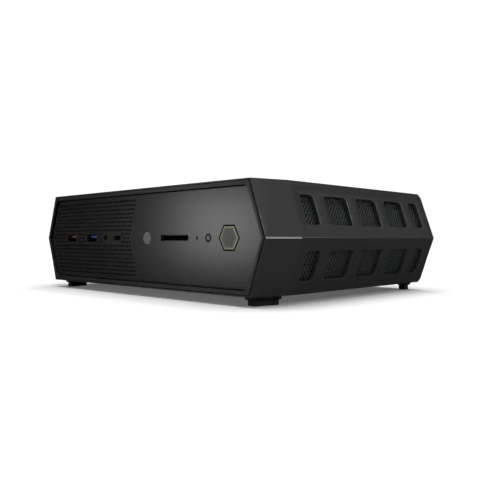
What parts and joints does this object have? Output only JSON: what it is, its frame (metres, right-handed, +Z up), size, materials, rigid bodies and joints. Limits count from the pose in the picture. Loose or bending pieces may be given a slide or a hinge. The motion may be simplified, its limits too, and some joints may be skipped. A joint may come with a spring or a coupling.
{
  "type": "mini pc",
  "caption": "Low six-sided desktop computer: ridged sides with mesh windows, recessed front with a perforated port panel, plain fascia and hexagonal power button, internal blowers.",
  "frame": {"origin": "On the table, under the middle of the overall box: the centre of the rectangle between the feet.", "axes": "+X is the right of someone facing the front and runs across the width; -Y is the front with the ports and the power button; +Z is up, away from the feet."},
  "size_m": [0.23, 0.1652, 0.066],
  "materials": {
    "shell_plastic": "fine satin grain, near black",
    "bezel_plastic": "satin dark grey",
    "fascia_plastic": "smooth satin dark grey",
    "grille_plastic": "fine matt black",
    "badge_metal": "satin grey metal",
    "lens_plastic": "milky light lens",
    "mesh_metal": "dark coated mesh",
    "foot_rubber": "matt black rubber",
    "dark_steel": "black coated steel",
    "port_steel": "plated steel",
    "contact_plastic": "black moulded plastic",
    "circuit_board": "dark solder mask",
    "chip_black": "moulded black",
    "copper": "bright copper",
    "fin_aluminium": "bare aluminium",
    "fan_plastic": "black moulded plastic"
  },
  "bodies": {
    "base": {"activity_lens": "lens_plastic", "blower_housing_left": "fan_plastic", "blower_housing_right": "fan_plastic", "bottom_cover": "shell_plastic", "card_reader": "port_steel", "coin_cell": "port_steel", "cover_screw_1": "dark_steel", "cover_screw_2": "dark_steel", "cover_screw_3": "dark_steel", "cover_screw_4": "dark_steel", "display_port_1": "port_steel", "display_port_2": "port_steel", "ethernet_jack": "port_steel", "fan_stator_left": "copper", "fan_stator_right": "copper", "fin_stack_left": "fin_aluminium", "fin_stack_right": "fin_aluminium", "foot_front_left": "foot_rubber", "foot_front_right": "foot_rubber", "foot_rear_left": "foot_rubber", "foot_rear_right": "foot_rubber", "front_bezel": "bezel_plastic", "front_board": "circuit_board", "front_fascia": "fascia_plastic", "graphics_chip": "chip_black", "hdmi_port": "port_steel", "headset_jack": "contact_plastic", "heat_pipe_left": "copper", "heat_pipe_right": "copper", "heat_spreader": "copper", "hex_badge": "badge_metal", "main_board": "circuit_board", "memory_module_1": "circuit_board", "memory_module_2": "circuit_board", "memory_socket_1": "contact_plastic", "memory_socket_2": "contact_plastic", "port_grille": "grille_plastic", "power_inlet": "contact_plastic", "power_switch": "chip_black", "processor": "chip_black", "rear_panel": "dark_steel", "side_mesh_left": "mesh_metal", "side_mesh_right": "mesh_metal", "side_shell_left": "shell_plastic", "side_shell_right": "shell_plastic", "solid_state_drive_1": "circuit_board", "solid_state_drive_2": "circuit_board", "status_lens": "lens_plastic", "top_cover": "shell_plastic", "usb_c_port_front": "port_steel", "usb_c_port_rear": "port_steel", "usb_port_front_1": "port_steel", "usb_port_front_2": "port_steel", "usb_stack_rear_1": "port_steel", "usb_stack_rear_2": "port_steel", "wireless_card": "port_steel"},
    "button": {"power_button": "badge_metal"},
    "left_fan": {"fan_rotor_left": "fan_plastic"},
    "right_fan": {"fan_rotor_right": "fan_plastic"}
  },
  "joints": [
    {"name": "power_button_press", "type": "slide", "parent": "base", "child": "button", "axis": [0, 1, 0], "range_m": [0, 0.0008], "stiffness_N_per_m": 900, "springref_m": -0.0005},
    {"name": "left_fan_spin", "type": "hinge", "parent": "base", "child": "left_fan", "pos_m": [-0.052, -0.004, 0.037], "axis": [0, 0, 1], "continuous": true},
    {"name": "right_fan_spin", "type": "hinge", "parent": "base", "child": "right_fan", "pos_m": [0.052, -0.004, 0.037], "axis": [0, 0, 1], "continuous": true}
  ]
}
